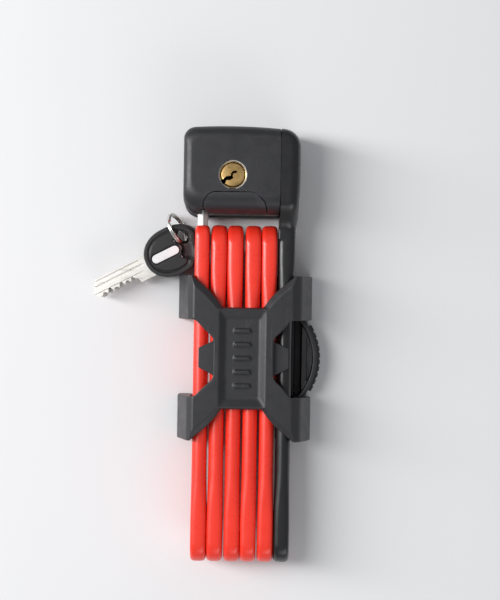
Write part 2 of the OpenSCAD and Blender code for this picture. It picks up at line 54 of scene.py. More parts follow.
def span(node):
    """A CAD node's lowest and highest corner, in millimetres."""
    low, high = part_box(node)
    return [c / MM for c in low], [c / MM for c in high]


def centre(node):
    low, high = span(node)
    return [(a + b) / 2 for a, b in zip(low, high)]


def smoothstep(t):
    t = min(max(t, 0.0), 1.0)
    return t * t * (3 - 2 * t)


# ---------------------------------------------------------------- mesh tools

def mesh_object(name, points, faces):
    mesh = bpy.data.meshes.new(name)
    mesh.from_pydata(points, [], faces)
    mesh.validate()
    obj = bpy.data.objects.new(name, mesh)
    bpy.context.collection.objects.link(obj)
    return obj


def bake(obj):
    """Applies the object's modifiers."""
    graph = bpy.context.evaluated_depsgraph_get()
    mesh = bpy.data.meshes.new_from_object(obj.evaluated_get(graph), depsgraph=graph)
    obj.modifiers.clear()
    old = obj.data
    obj.data = mesh
    bpy.data.meshes.remove(old)
    return obj


def combine(obj, tool, operation):
    """Boolean of two solids; the tool is used up."""
    step = obj.modifiers.new("combine", "BOOLEAN")
    step.operation = operation
    step.solver = "EXACT"
    step.object = tool
    bake(obj)
    bpy.data.objects.remove(tool)
    return obj


def cut(obj, *tools):
    for tool in tools:
        combine(obj, tool, "DIFFERENCE")
    return obj


def join(obj, *tools):
    for tool in tools:
        combine(obj, tool, "UNION")
    return obj


def common(obj, tool):
    return combine(obj, tool, "INTERSECT")


def copy_of(obj, name):
    twin = obj.copy()
    twin.data = obj.data.copy()
    twin.name = name
    bpy.context.collection.objects.link(twin)
    return twin


def loft(name, rings, capped=True):
    """A skin over closed rings that all have the same number of points."""
    count = len(rings[0])
    points = [p for ring in rings for p in ring]
    faces = []
    for i in range(len(rings) - 1):
        for j in range(count):
            k = (j + 1) % count
            faces.append((i * count + j, i * count + k, (i + 1) * count + k, (i + 1) * count + j))
    if capped:
        last = (len(rings) - 1) * count
        faces.append(tuple(range(count - 1, -1, -1)))
        faces.append(tuple(last + j for j in range(count)))
    return outward(mesh_object(name, points, faces))


def outward(obj):
    """Merges doubled points and turns every face outwards."""
    work = bmesh.new()
    work.from_mesh(obj.data)
    bmesh.ops.remove_doubles(work, verts=work.verts, dist=1e-4)
    bmesh.ops.dissolve_degenerate(work, edges=work.edges, dist=1e-5)
    bmesh.ops.recalc_face_normals(work, faces=work.faces)
    work.to_mesh(obj.data)
    work.free()
    return obj


def prism(outline, axis, low, high):
    """A flat outline pushed along an axis. The outline is (y, z) for x, (x, z) for y and (x, y) for z."""
    place = {
        "x": lambda a, b, c: (c, a, b),
        "y": lambda a, b, c: (a, c, b),
        "z": lambda a, b, c: (a, b, c),
    }[axis]
    rings = [[place(a, b, level) for a, b in outline] for level in (low, high)]
    return loft("prism", rings)


def block(low, high):
    outline = [(low[0], low[1]), (high[0], low[1]), (high[0], high[1]), (low[0], high[1])]
    return prism(outline, "z", low[2], high[2])


def circle(x, y, r, steps=48):
    return [(x + r * math.cos(2 * math.pi * i / steps), y + r * math.sin(2 * math.pi * i / steps))
            for i in range(steps)]


def filleted(corners, steps=6):
    """A closed outline from (x, y, radius) corners, each rounded with its own radius."""
    outline = []
    count = len(corners)
    for i, (x, y, r) in enumerate(corners):
        here = Vector((x, y))
        before = Vector(corners[i - 1][:2]) - here
        after = Vector(corners[(i + 1) % count][:2]) - here
        if r <= 0:
            outline.append((x, y))
            continue
        half = before.angle(after) / 2
        reach = min(r / math.tan(half), before.length * 0.49, after.length * 0.49)
        r = reach * math.tan(half)
        middle = here + (before.normalized() + after.normalized()).normalized() * (r / math.sin(half))
        start = here + before.normalized() * reach - middle
        end = here + after.normalized() * reach - middle
        turn = start.angle_signed(end)
        for k in range(steps + 1):
            outline.append(tuple(middle + Matrix.Rotation(-turn * k / steps, 2) @ start))
    return outline


def mould(obj, voxel, rounds, keep=1.0):
    """Rounds every edge as on a moulding: a fine remesh, then some smoothing."""
    remesh = obj.modifiers.new("remesh", "REMESH")
    remesh.mode = "VOXEL"
    remesh.voxel_size = voxel
    smooth = obj.modifiers.new("smooth", "SMOOTH")
    smooth.factor = 0.5
    smooth.iterations = rounds
    if keep < 1:
        thin = obj.modifiers.new("thin", "DECIMATE")
        thin.ratio = keep
    return bake(obj)


def bevelled(obj, width, segments=3, angle=35):
    step = obj.modifiers.new("bevel", "BEVEL")
    step.width = width
    step.segments = segments
    step.limit_method = "ANGLE"
    step.angle_limit = math.radians(angle)
    step.harden_normals = False
    return bake(obj)


def piece(obj, name, body, stands_for, material, sharp=40):
    """Hands a finished mesh to the frame: metres, shading, material, body and the nodes it stands for."""
    obj.data.transform(Matrix.Scale(MM, 4))
    obj.name = name
    obj.data.name = name
    obj.data.shade_smooth()
    obj.data.set_sharp_from_angle(angle=math.radians(sharp))
    even = obj.modifiers.new("even", "WEIGHTED_NORMAL")
    even.keep_sharp = True
    bake(obj)
    obj.data.name = name
    obj.data.materials.clear()
    obj.data.materials.append(material)
    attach(obj, body)
    if stands_for:
        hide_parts(*stands_for)
    return obj


# ---------------------------------------------------------------- materials

class Nodes:
    """A material's node tree, with a short way to add nodes and links."""

    def __init__(self, name):
        self.material = bpy.data.materials.new(name)
        self.material.use_nodes = True
        self.tree = self.material.node_tree
        self.shader = self.tree.nodes["Principled BSDF"]
        self.place = self.add("ShaderNodeTexCoord").outputs["Object"]

    def add(self, kind, **values):
        node = self.tree.nodes.new(kind)
        for key, value in values.items():
            if key in node.inputs:
                node.inputs[key].default_value = value
            else:
                setattr(node, key, value)
        return node

    def link(self, out, into):
        self.tree.links.new(out, into)

    def noise(self, scale, detail=3.0, rough=0.55, stretch=None):
        place = self.place
        if stretch:
            mapping = self.add("ShaderNodeMapping")
            mapping.inputs["Scale"].default_value = stretch
            self.link(place, mapping.inputs["Vector"])
            place = mapping.outputs["Vector"]
        node = self.add("ShaderNodeTexNoise", Scale=scale, Detail=detail, Roughness=rough)
        self.link(place, node.inputs["Vector"])
        return node.outputs["Fac"]

    def ramp(self, value, low, high, to_low=0.0, to_high=1.0):
        node = self.add("ShaderNodeMapRange")
        node.inputs["From Min"].default_value = low
        node.inputs["From Max"].default_value = high
        node.inputs["To Min"].default_value = to_low
        node.inputs["To Max"].default_value = to_high
        self.link(value, node.inputs["Value"])
        return node.outputs["Result"]

    def mix(self, factor, first, second):
        node = self.add("ShaderNodeMix", data_type="RGBA")
        self.link(factor, node.inputs["Factor"])
        for socket, value in (("A", first), ("B", second)):
            target = [s for s in node.inputs if s.name == socket and s.type == "RGBA"][0]
            if isinstance(value, tuple):
                target.default_value = (*value, 1.0)
            else:
                self.link(value, target)
        return [s for s in node.outputs if s.type == "RGBA"][0]

    # Pointiness ramp: masks painted highlights on edges and painted shade in hollows.
    def highlight_and_shade_mask(self, low=0.52, high=0.6):
        geometry = self.add("ShaderNodeNewGeometry")
        return self.ramp(geometry.outputs["Pointiness"], low, high)

    def bump(self, height, strength, distance, under=None):
        node = self.add("ShaderNodeBump", Strength=strength, Distance=distance)
        self.link(height, node.inputs["Height"])
        if under:
            self.link(under, node.inputs["Normal"])
        return node.outputs["Normal"]

    def finish(self, colour, roughness, normal, metallic=0.0):
        self.link(colour, self.shader.inputs["Base Color"])
        self.link(roughness, self.shader.inputs["Roughness"])
        self.link(normal, self.shader.inputs["Normal"])
        self.shader.inputs["Metallic"].default_value = metallic
        return self.material


def shade(colour, factor):
    return tuple(min(c * factor, 1.0) for c in colour)


PLUG_TOP = span("cylinder_plug")[1][2] - 0.5     # the plug's face stands this little below its CAD form


def grained_plastic(name, colour, rough, grain, depth, edge_highlight_gain=1.5, scuffs=0.0):
    """Moulded plastic: fine grain, slow changes of tone, painted highlights on its edges and a few scuffs."""
    n = Nodes(name)
    tone = n.ramp(n.noise(60, 4), 0.3, 0.7)
    base = n.mix(tone, shade(colour, 0.9), shade(colour, 1.1))
    speck = n.ramp(n.noise(grain, 2, 0.6), 0.5, 0.72, 0.0, 0.5)
    base = n.mix(speck, base, shade(colour, 1.5))
    # Painted highlight: convex edges are paler than the rest.
    edge = n.ramp(n.highlight_and_shade_mask(), 0.0, 1.0, 0.0, 0.6)
    base = n.mix(edge, base, shade(colour, edge_highlight_gain))
    rub = n.ramp(n.noise(700, 2, stretch=(1.0, 0.08, 1.0)), 0.62, 0.72, 0.0, scuffs)
    base = n.mix(rub, base, shade(colour, 2.2))
    roughness = n.ramp(n.noise(240, 3), 0.3, 0.7, rough - 0.05, rough + 0.06)
    normal = n.bump(n.noise(grain, 2, 0.6), 0.6, depth)
    return n.finish(base, roughness, normal)


def coated(name, colour, deep, rough):
    """Thick, slightly soft coating: satin, with a faint orange-peel surface and painted shade in its hollows.
    """
    n = Nodes(name)
    tone = n.ramp(n.noise(45, 3), 0.3, 0.7)
    base = n.mix(tone, shade(colour, 0.95), shade(colour, 1.04))
    # Painted shade: hollows are darkened towards the deep colour.
    hollow_shade = n.ramp(n.highlight_and_shade_mask(0.3, 0.42), 0.0, 1.0, 0.5, 0.0)
    base = n.mix(hollow_shade, base, deep)
    roughness = n.ramp(n.noise(180, 3), 0.3, 0.7, rough - 0.04, rough + 0.05)
    peel = n.bump(n.noise(900, 2), 0.15, 0.00008)
    normal = n.bump(n.noise(90, 2), 0.1, 0.0003, peel)
    n.shader.inputs["Coat Weight"].default_value = 0.25
    n.shader.inputs["Coat Roughness"].default_value = 0.3
    return n.finish(base, roughness, normal)


def metal(name, colour, rough, scratch_stretch, scratch=900, depth=0.00004, dull=0.8, metallic=1.0,
          painted_shade_below=None):
    """Metal with fine directional marks and dull patches, painted black as shade inside holes below a given
    height.
    """
    n = Nodes(name)
    patch = n.ramp(n.noise(140, 4), 0.35, 0.65)
    base = n.mix(patch, shade(colour, dull), colour)
    lines = n.noise(scratch, 3, 0.6, scratch_stretch)
    base = n.mix(n.ramp(lines, 0.45, 0.75, 0.0, 0.35), base, shade(colour, 0.7))
    # Painted shade: black below the given height.
    if painted_shade_below:
        height = n.add("ShaderNodeSeparateXYZ")
        n.link(n.place, height.inputs["Vector"])
        base = n.mix(n.ramp(height.outputs["Z"], painted_shade_below - 0.0012, painted_shade_below), (0.01, 0.008, 0.006), base)
    roughness = n.ramp(lines, 0.3, 0.7, rough - 0.07, rough + 0.1)
    normal = n.bump(lines, 0.35, depth)
    return n.finish(base, roughness, normal, metallic)


# After the grain depth comes the gain of each plastic's painted edge highlight.
casing_plastic = grained_plastic("casing_plastic", (0.021, 0.021, 0.024), 0.38, 2300, 0.00009, 1.7)
holder_plastic = grained_plastic("holder_plastic", (0.022, 0.022, 0.025), 0.4, 2100, 0.00009, 2.6, 0.6)
key_plastic = grained_plastic("key_plastic", (0.012, 0.012, 0.013), 0.4, 2400, 0.00006, 2.2, 0.3)
pad_rubber = grained_plastic("pad_rubber", (0.012, 0.012, 0.013), 0.7, 1800, 0.00008, 1.6)
washer_plastic = grained_plastic("washer_plastic", (0.04, 0.04, 0.04), 0.45, 1500, 0.00004)
# Each coating's second colour is the painted shade in its hollows.
red_coating = coated("red_coating", (0.93, 0.038, 0.018), (0.45, 0.006, 0.004), 0.29)
black_coating = coated("black_coating", (0.009, 0.009, 0.01), (0.004, 0.004, 0.005), 0.3)
bare_steel = metal("bare_steel", (0.86, 0.85, 0.83), 0.4, (1.0, 0.05, 1.0), 900, 0.00002, 0.85, 0.75)
chromed_steel = metal("chromed_steel", (0.9, 0.9, 0.9), 0.14, (1.0, 1.0, 1.0), 500, 0.00001, 0.95)
ring_steel = metal("ring_steel", (0.85, 0.84, 0.8), 0.24, (1.0, 1.0, 1.0), 500, 0.00001, 0.9)
key_nickel = metal("key_nickel", (0.9, 0.87, 0.82), 0.32, (0.25, 1.0, 1.0), 350, 0.00001, 0.94, 0.75)
# Painted shade: the brass is black inside the keyway, below the plug's face.
plug_brass = metal("plug_brass", (0.84, 0.55, 0.22), 0.3, (1.0, 1.0, 1.0), 260, 0.00025, 0.6, 0.95,
                   PLUG_TOP * MM - 0.0004)
die_cast_zinc = metal("die_cast_zinc", (0.42, 0.43, 0.45), 0.5, (1.0, 1.0, 1.0), 300, 0.00006)
inset_silver = grained_plastic("inset_silver", (0.8, 0.8, 0.81), 0.35, 1500, 0.00002, 1.1)

BY_SLOT = {
    "casing_plastic": casing_plastic, "holder_plastic": holder_plastic, "key_plastic": key_plastic,
    "pad_rubber": pad_rubber, "washer_plastic": washer_plastic, "red_coating": red_coating,
    "black_coating": black_coating, "bare_steel": bare_steel, "chromed_steel": chromed_steel,
    "ring_steel": ring_steel, "key_nickel": key_nickel, "plug_brass": plug_brass,
    "die_cast_zinc": die_cast_zinc, "inset_silver": inset_silver,
}
for part in frame["record"]["subparts"]:
    node = frame["nodes"][part["node"]]
    node.data.materials.clear()
    node.data.materials.append(BY_SLOT[part["material_slot"]])


# ---------------------------------------------------------------- bars

EDGE_R = 3.3                 # how far a coat's rounded edge reaches in from its rim
MID_HALF = 3.32              # half a coat's thickness between the pivots
MEET_HALF = 3.75             # the same beside a pivot, on the side that meets the next bar
FREE_HALF = 3.5              # and on the other side
FLARE_LEN = 24.0             # over this length the middle's thickness changes to a pivot's
POCKET_R = 5.1               # round pocket in the coat, for a rivet's head or a washer
POCKET_FLOOR = 2.4           # that pocket's floor, from the middle of the bar's thickness
BORE_R = 3.05                # rivet hole through a bar's steel
PADDLE_R = 11.0              # radius of bar 1's wide round end beside the lock body


def stadium(y0, y1, zc, r, square=False, arc=28, straight=44):
    """Outline of a bar's flat side, as (y, z) points. A square one has a blunter high end."""
    power = 0.5 if square else 1.0
    points = []
    for i in range(arc + 1):
        a = -math.pi / 2 + math.pi * i / arc
        y = r * max(math.cos(a), 0.0) ** power
        points.append((y1 + y, zc + math.copysign(r * abs(math.sin(a)) ** power, math.sin(a))))
    for i in range(1, straight):
        points.append((y1 + (y0 - y1) * i / straight, zc + r))
    for i in range(arc + 1):
        a = math.pi / 2 + math.pi * i / arc
        points.append((y0 + r * math.cos(a), zc + r * math.sin(a)))
    for i in range(1, straight):
        points.append((y0 + (y1 - y0) * i / straight, zc - r))
    return points


def bar_form(node, low_side, high_side, shift=0.0):
    """A coated bar. low_side and high_side say on which side, -1 or 1, the next bar is riveted on."""
    low, high = span(node)
    xc = centre(node.replace("coat", "core"))[0]
    zc = (low[2] + high[2]) / 2
    y0 = low[1] + BAR_R
    y1 = high[1] if node == "bar_1_coat" else high[1] - BAR_R
    if node == "bar_6_coat":
        y1 = span("bar_5_coat")[1][1] - BAR_R

    def near(y, pivot):
        return smoothstep(1 - max(abs(y - pivot) - BAR_R, 0) / FLARE_LEN)

    def half_at(side, y):
        half = MID_HALF
        for weight, partner in ((near(y, y0), low_side), (near(y, y1), high_side)):
            target = MEET_HALF if partner == side else FREE_HALF
            half += (target - MID_HALF) * weight if partner else 0.0
        if node == "bar_1_coat" and side > 0:
            half += (high[0] - 0.05 - xc - MID_HALF) * smoothstep((y - y1 + 26) / 12)
        return half

    rings = []
    steps = 10
    for side in (-1, 1):
        angles = [math.pi / 2 * (1 - k / steps) for k in range(steps + 1)]
        insets = [(BAR_R * f, 0.0) for f in (1.0, 0.8, 0.6)] + [(EDGE_R * (1 - math.cos(a)), math.cos(a))
                                                               for a in angles]
        half_rings = []
        for inset, height in insets:
            ring = []
            for y, z in stadium(y0, y1, zc, max(BAR_R - inset, 0.0), node == "bar_6_coat"):
                power = 2.2 + 1.4 * max(near(y, y0), near(y, y1))
                amount = (1 - height ** power) ** (1 / power)
                lean = shift * smoothstep((y - y1 + 80) / 60)
                ring.append((xc + lean + side * half_at(side, y) * amount, y, z))
            half_rings.append(ring)
        rings += half_rings if side < 0 else half_rings[::-1][1:]
    return loft(node + "_form", rings, capped=False)


def pivot_pockets(node, ys):
    """Round pockets down to the steel on both faces of a bar."""
    low, high = span(node)
    xc = (low[0] + high[0]) / 2
    zc = (low[2] + high[2]) / 2
    tools = []
    for y in ys:
        for side in (-1, 1):
            a, b = sorted((xc + side * POCKET_FLOOR, xc + side * 6))
            tools.append(prism(circle(y, zc, POCKET_R), "x", a, b))
    return tools


def make_red_bar(n, low_side, high_side, shift=0.0):
    node = f"bar_{n}_coat"
    form = bar_form(node, low_side, high_side, shift)
    low, high = span(node)
    pivots = [low[1] + BAR_R]
    if high_side:
        pivots.append(high[1] - BAR_R)
    cut(form, *pivot_pockets(node, pivots))
    if n == 6:
        xc = centre(node)[0]
        mouth = filleted([(xc - 2.5, high[2] - 14.4, 0.8), (xc + 2.5, high[2] - 14.4, 0.8),
                          (xc + 2.5, high[2] - 3.6, 1), (xc - 2.5, high[2] - 3.6, 1)])
        cut(form, prism(mouth, "y", high[1] - 1.2, high[1] + 2))
    return piece(form, f"bar_{n}_skin", f"bar_{n}", [node], red_coating)


make_red_bar(2, 1, -1, 0.4)
make_red_bar(3, -1, 1, 0.4)
make_red_bar(4, 1, -1)
make_red_bar(5, -1, 1)
make_red_bar(6, 1, 0)


def make_tongue():
    """Bar 6's steel: a slab with a tongue at its end, ground to a ridge along the front."""
    low, high = span("bar_6_core")
    coat_high = span("bar_6_coat")[1]
    zc = (low[2] + high[2]) / 2
    xc = (low[0] + high[0]) / 2
    r = (high[2] - low[2]) / 2
    slab = prism(stadium(low[1] + r, coat_high[1] - BAR_R, zc, r), "x", low[0], high[0])
    half, deep = 2.25, 5.0
    section = [(xc - half, zc - deep + 1), (xc - half + 1, zc - deep), (xc + half - 1, zc - deep),
               (xc + half, zc - deep + 1), (xc + half, zc + deep - 1.5), (xc + 0.3, zc + deep),
               (xc - 0.3, zc + deep), (xc - half, zc + deep - 1.5)]
    tongue = prism(section, "y", coat_high[1] - 12, high[1])
    front = zc + deep
    slope = prism([(high[1] - 1.6, front + 1), (high[1] + 1, front - 2.2), (high[1] + 1, front + 1)],
                  "x", xc - 5, xc + 5)
    notch = block((xc + half - 2.6, high[1] - 6.5, zc - 8), (xc + half + 1, high[1] - 2.5, zc + 8))
    cut(tongue, slope, notch)
    join(slab, tongue)
    cut(slab, prism(circle(low[1] + r, zc, BORE_R), "x", low[0] - 1, high[0] + 1))
    bevelled(slab, 0.18, 2, 25)
    return piece(slab, "bar_6_steel", "bar_6", ["bar_6_core"], bare_steel, 25)


make_tongue()


# ---------------------------------------------------------------- black bar and side cover

def make_black_bar():
    """Bar 1: its coat runs on into the cover beside the lock body, in one moulding."""
    bar = bar_form("bar_1_coat", -1, 0)
    low, high = span("side_cover")
    bar_low, bar_high = span("bar_1_coat")
    zc = (bar_low[2] + bar_high[2]) / 2
    inner = low[0] - 2
    top_y = high[1] - 0.8
    top_r = 8.2
    side_r = 4.2
    rings = []
    steps = 64
    for i in range(steps + 1):
        t = i / steps
        y = low[1] - 3 + (top_y - low[1] + 3) * (1 - (1 - t) ** 1.7)
        spread = smoothstep((y - low[1] - 1) / 13)
        out = bar_high[0] - 0.05 + 1.0 * smoothstep((y - low[1] + 1) / 10)
        out += 0.7 * smoothstep((y - low[1] - 7) / 18)
        from_top = top_y - y
        pull = top_r - math.sqrt(max(top_r ** 2 - max(top_r - from_top, 0) ** 2, 0))
        z_pull = 4 - math.sqrt(max(16 - max(4 - from_top, 0) ** 2, 0))
        z0 = zc - BAR_R + (low[2] - zc + BAR_R) * spread + z_pull
        z1 = zc + BAR_R + (high[2] - zc - BAR_R) * spread - z_pull
        corners = [(inner, z0, 0.6), (out - pull, z0, side_r), (out - pull, z1, side_r), (inner, z1, 0.6)]
        rings.append([(x, y, z) for x, z in filleted(corners, 8)])
    cover = loft("cover", rings)
    cut(cover, block((inner - 3, low[1] - 8, -5), (low[0] - 0.7, low[1] + 7, 40)))
    join(cover, bar)
    mould(cover, 0.38, 4, 0.5)
    cut(cover, block((inner - 4, low[1] + 6.5, -5), (low[0] - 0.25, top_y + 4, 40)))
    steel_low, steel_high = span("bar_1_core")
    paddle = circle(steel_high[1] - PADDLE_R, steel_low[2] + PADDLE_R, PADDLE_R + 0.05, 64)
    cut(cover, prism(paddle, "x", low[0] - 2, steel_high[0] - 0.05))
    cut(cover, *pivot_pockets("bar_1_coat", [bar_low[1] + BAR_R]))
    return piece(cover, "bar_1_skin", "bar_1", ["bar_1_coat", "side_cover"], black_coating)


make_black_bar()


# ---------------------------------------------------------------- lock body

body_low, body_high = span("body_shell")
body_low[2] = span("rear_cover")[0][2]
lock = centre("cylinder_plug")
SIDE_R = 4.0                 # rounding along the casing's left side
TOP_R = 4.5                  # along its top
LOW_R = 9.5                  # and along its lower edge, in front
SHELL = 2.5                  # the casing's wall
LEDGE_Z = 9.0                # below this height the casing's lower edge stands out as a ledge
LEDGE = 0.9                  # by this much
CROWN = 0.9                  # how far the top edge drops from its middle to its ends
SLOT_HALF = 2.5              # half the width of the tongue's slot
SLEEVE_HOLE_R = 6.55         # hole in the casing's front, round the cylinder's sleeve
BODY_RIVET_HOLE_R = 4.5
SCREW_HOLE_R = 3.0


def rounding(distance, r):
    """How far a surface is set back at this distance from an edge of radius r."""
    if distance >= r:
        return 0.0
    return r - math.sqrt(max(r * r - (r - max(distance, 0.0)) ** 2, 0.0))


def casing_form(wall=0.0):
    """The lock body's outer form, or the same form a wall's thickness further in."""
    z0, z1 = body_low[2] + wall, body_high[2] - wall
    levels = [z0 + d for d in (0, 0.15, 0.4, 0.8, 1.3, 2, 3, 4.2, 6, 8, 8.95)]
    levels += [z0 + 9.05 + (z1 - z0 - 9.05 - LOW_R) * k / 4 for k in range(5)]
    levels += [z1 - LOW_R * (1 - math.sin(math.pi / 2 * k / 16)) for k in range(1, 17)]
    x_mid = (body_low[0] + body_high[0]) / 2
    half_w = (body_high[0] - body_low[0]) / 2
    rings = []
    for z in levels:
        from_back, from_front = z - z0, z1 - z
        side = max(rounding(from_back, SIDE_R), rounding(from_front, SIDE_R))
        top = max(rounding(from_back, TOP_R), rounding(from_front, TOP_R))
        step = 0.0 if from_back < LEDGE_Z - wall else LEDGE
        low = step + rounding(from_front, LOW_R) * (LOW_R - step) / LOW_R if from_front < LOW_R \
            else step + rounding(from_back, 2.5)
        corners = [
            (body_low[0] + side + wall, body_low[1] + low + wall, 7),
            (body_high[0] - 0.02 - wall, body_low[1] + low + wall, 0.5),
            (body_high[0] - 0.02 - wall, body_high[1] - top - wall, 0.5),
            (body_low[0] + side + wall, body_high[1] - top - wall, 5),
        ]
        outline = filleted(corners, 8)
        dense = []
        for (x, y), (nx, ny) in zip(outline, outline[1:] + outline[:1]):
            pieces = 12 if math.hypot(nx - x, ny - y) > 6 else 1
            dense += [(x + (nx - x) * k / pieces, y + (ny - y) * k / pieces) for k in range(pieces)]
        ring = []
        for x, y in dense:
            upper = smoothstep((y - body_high[1] + 12) / 10)
            ring.append((x, y - CROWN * upper * ((x - x_mid) / half_w) ** 2, z))
        rings.append(ring)
    return loft("casing", rings)


def insert_outline(gap):
    """The panel below the keyhole: flat at the top, with a long rounded shoulder on each side."""
    low, high = span("front_insert")
    low_y = body_low[1] - 2
    return filleted([
        (low[0] - 1.4 - gap, low_y, 0),
        (high[0] + gap, low_y, 0),
        (high[0] - 0.2 + gap, low_y + 4.7, 3),
        (high[0] - 0.9 + gap * 0.7, high[1] - 4.2 + gap * 0.7, 5),
        (high[0] - 5.2, high[1] + 0.1 + gap, 9),
        (low[0] + 1.8, high[1] + 0.2 + gap, 9),
        (low[0] - 1.4 - gap, high[1] - 4.2, 3),
    ], 10)


def tongue_way():
    """The slot that the tongue sits in, open downwards and through the back."""
    low, high = span("bar_6_core")
    x0, x1 = (low[0] + high[0]) / 2 - SLOT_HALF, (low[0] + high[0]) / 2 + SLOT_HALF
    pivot = centre("body_rivet")
    reach = pivot[1] - high[1] - 0.6
    zc = centre("bar_6_coat")[2]
    deep = block((x0, body_low[1] - 2, -2), (x1, high[1] + 0.6, zc + 5.7))
    mouth = prism([(x0, body_low[1] - 2), (x1, body_low[1] - 2), (x1, body_low[1] + 1.6),
                   (x1 - 1.9, body_low[1] + 3.4), (x0 + 1.9, body_low[1] + 3.4), (x0, body_low[1] + 1.6)],
                  "z", -2, body_high[2] + 2)
    arc = [(pivot[1] - reach * math.cos(a), pivot[2] - reach * math.sin(a))
           for a in [math.asin((pivot[2] + 2) / reach) * k / 12 for k in range(13)]]
    outline = [(body_low[1] - 2, pivot[2])] + arc + [(body_low[1] - 2, -2)]
    return join(deep, mouth, prism(outline, "x", x0, x1))


def make_lock_body():
    outer = casing_form()
    cover_z = span("rear_cover")[1][2]
    rear = common(copy_of(outer, "rear"), block((body_low[0] - 5, body_low[1] - 5, -5),
                                                 (body_high[0] + 5, body_high[1] + 5, cover_z)))
    front = cut(outer, block((body_low[0] - 5, body_low[1] - 5, -5),
                             (body_high[0] + 5, body_high[1] + 5, cover_z + 0.08)))
    panel = common(copy_of(front, "panel"), prism(insert_outline(-0.18), "z", 22, 40))
    cut(front, prism(insert_outline(0.3), "z", 25, 40))
    cut(panel, block((body_low[0] - 5, body_low[1] - 5, -5), (body_high[0] + 5, body_high[1] + 5, 25.6)))
    cut(front, casing_form(SHELL), tongue_way())
    cut(panel, casing_form(SHELL), tongue_way())
    cut(rear, tongue_way())
    cut(front, prism(circle(lock[0], lock[1], SLEEVE_HOLE_R, 72), "z", 20, 40))
    pivot = centre("body_rivet")
    rivet_hole = circle(pivot[1], pivot[2], BODY_RIVET_HOLE_R)
    cut(front, prism(rivet_hole, "x", body_high[0] - 5, body_high[0] + 5))
    for x, y in screw_centres():
        cut(rear, prism(circle(x, y, SCREW_HOLE_R), "z", -5, 1.25))
    bevelled(front, 0.22, 2, 50)
    bevelled(panel, 0.22, 2, 50)
    bevelled(rear, 0.2, 2, 50)
    piece(front, "casing_skin", "lock_body", ["body_shell"], casing_plastic, 30)
    piece(panel, "lower_panel", "lock_body", ["front_insert"], casing_plastic, 30)
    piece(rear, "rear_plate", "lock_body", ["rear_cover"], casing_plastic, 30)


def screw_centres():
    """Where the cover screws are. The lower left one stands further in, beside the tongue's slot."""
    low, high = span("cover_screws")
    left_low = low[0] + 8.4 + 2.8
    return [(left_low, low[1] + 2.8), (high[0] - 2.8, low[1] + 2.8), (high[0] - 2.8, high[1] - 2.8),
            (low[0] + 2.8, high[1] - 2.8)]


make_lock_body()


def lathe(profile, cx, cy, steps=96):
    """A turned part on a vertical axis, from (radius, z) points."""
    turn = [2 * math.pi * i / steps for i in range(steps)]
    return [[(cx + r * math.cos(a), cy + r * math.sin(a), z) for a in turn] for r, z in profile]


def make_cylinder():
    low, high = span("cylinder_plug")
    r = (high[0] - low[0]) / 2
    top = PLUG_TOP
    profile = [(0.01, low[2]), (r, low[2]), (r, top - 0.35), (r - 0.12, top - 0.12), (r - 0.4, top),
               (r * 0.6, top + 0.02), (0.01, top + 0.03)]
    plug = loft("plug", lathe(profile, lock[0], lock[1]), capped=False)
    outward(plug)
    keyway = filleted([
        (-4.1, -4.6, 0.3), (-3.0, -3.3, 0.3), (-2.8, -2.4, 0.4), (-1.3, -2.5, 0.3), (0.4, -1.4, 0.3),
        (0.0, -0.8, 0.2), (0.2, 0.5, 0.4), (2.1, 1.0, 0.4), (1.6, 1.9, 0.4), (0.3, 1.8, 0.4),
        (-0.9, 0.7, 0.3), (-0.9, -0.5, 0.2), (-2.8, -0.7, 0.5), (-4.8, -2.4, 0.3),
    ], 3)
    cut(plug, prism([(x + lock[0], y + lock[1]) for x, y in keyway], "z", top - 14, top + 3))
    piece(plug, "plug_skin", "plug", ["cylinder_plug"], plug_brass, 30)

    s_low, s_high = span("cylinder_sleeve")
    outer = (s_high[0] - s_low[0]) / 2
    inner = r + 0.06
    lip = s_high[2] - 0.45
    ring = [(inner, s_low[2]), (outer, s_low[2]), (outer, lip - 0.2), (outer - 0.15, lip),
            (inner + 0.5, lip - 0.3), (inner + 0.1, lip - 0.9), (inner, lip - 1.6), (inner, s_low[2])]
    sleeve = loft("sleeve", lathe(ring, lock[0], lock[1]), capped=False)
    piece(sleeve, "sleeve_skin", "lock_body", ["cylinder_sleeve"], chromed_steel, 30)


make_cylinder()


# ---------------------------------------------------------------- holder

holder_low, holder_high = span("holder_shell")
HX = holder_low[0] + 30      # the holder's middle, in x
HY = (holder_low[1] + holder_high[1]) / 2
PLATE_LOW = span("retainer_plate")[1][2]
PLATE_TOP = PLATE_LOW + 2.8
WALL_IN = 23.5               # inner face of the side walls, from the middle
END_Y = (holder_high[1] - holder_low[1]) / 2
WINDOW_Y = 17.4              # half the height of the openings at the sides
FRAME_BOLT_Y = 32            # the frame bolt holes, from the middle
FRAME_BOLT_Z = 10
FRAME_BOLT_R = 2.75


def held(outline):
    """An outline given from the holder's middle, moved to its place."""
    return [(x + HX, y + HY) for x, y in outline]


def arm_gap(end, bevel=0.0):
    """Opening between the two arms at one end; bevel moves its slanted sides outwards."""
    b = bevel
    points = [(-9.3 - 0.7 * b, 23.0 - 0.25 * b, 1.5), (9.3 + 0.7 * b, 23.0 - 0.25 * b, 1.5),
              (11.7 + 0.7 * b, 26.6 - 0.5 * b, 6), (15.3 + 0.7 * b, 30.6 - 0.6 * b, 14),
              (WALL_IN + 0.6 * b, END_Y - 0.6 * b, 2), (WALL_IN + 0.6 * b, END_Y + 9, 0),
              (-WALL_IN - 0.6 * b, END_Y + 9, 0), (-WALL_IN - 0.6 * b, END_Y - 0.6 * b, 2),
              (-15.3 - 0.7 * b, 30.6 - 0.6 * b, 14), (-11.7 - 0.7 * b, 26.6 - 0.5 * b, 6)]
    return held([(x, y * end) for x, y in filleted(points)])


